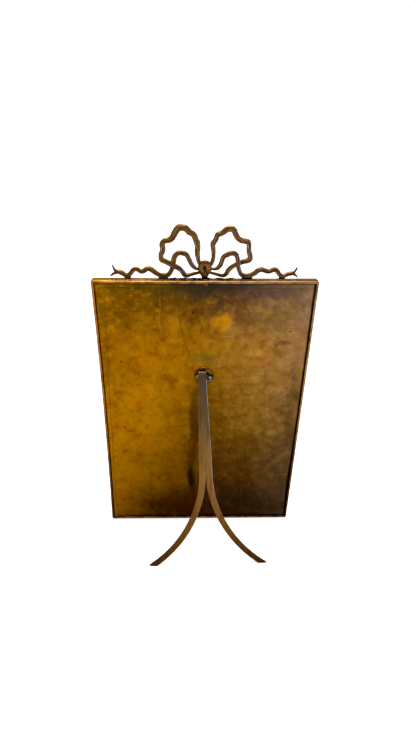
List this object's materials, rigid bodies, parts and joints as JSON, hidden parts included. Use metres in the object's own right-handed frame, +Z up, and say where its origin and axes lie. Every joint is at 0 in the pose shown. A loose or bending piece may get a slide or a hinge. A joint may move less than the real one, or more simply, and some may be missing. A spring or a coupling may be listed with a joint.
{
  "type": "standing photo frame",
  "caption": "Old brass standing photo frame with a ribbon-bow crest, a glazed moulded front, a brass back plate and a hinged wishbone strut.",
  "frame": {"origin": "middle of the bounding box in X and Y, on the surface it stands on", "axes": "+Z up; the picture faces -Y and leans back 15 degrees; the strut stands on the +Y side; +X is to the right as seen from the front"},
  "size_m": [0.15, 0.0758, 0.2491],
  "materials": {
    "frame_brass": "worn gilt over old brass",
    "plate_brass": "heavy amber and brown patina",
    "crest_brass": "cast brass, brown patina with bright upper edges",
    "strut_brass": "satin strip, brown patina",
    "hinge_brass": "dark brass with grey solder",
    "pin_steel": "dull wire",
    "glass": "clear, bevelled",
    "mat": "aged card, stood in for by matte plastic",
    "card": "blank mounted print, stood in for by matte plastic",
    "board": "brown strawboard"
  },
  "bodies": {
    "frame": {"front_moulding_bottom": "frame_brass", "back_rim_bottom": "frame_brass", "front_moulding_left": "frame_brass", "back_rim_left": "frame_brass", "front_moulding_top": "frame_brass", "back_rim_top": "frame_brass", "front_moulding_right": "frame_brass", "back_rim_right": "frame_brass", "back_plate": "plate_brass", "retaining_screw": "hinge_brass", "ribbon_crest": "crest_brass", "hinge_plate": "hinge_brass", "hinge_lug_left": "hinge_brass", "hinge_lug_right": "hinge_brass", "hinge_pin": "pin_steel", "glass": "glass", "mat_card": "mat", "photo_card": "card", "backing_board": "board"},
    "strut": {"strut": "strut_brass", "strut_knuckle": "hinge_brass"}
  },
  "joints": [
    {"name": "strut_hinge", "type": "hinge", "parent": "frame", "child": "strut", "pos_m": [0.0012, 0.00936, 0.13979], "axis": [1, 0, 0], "range_deg": [-25.7, 0]}
  ]
}
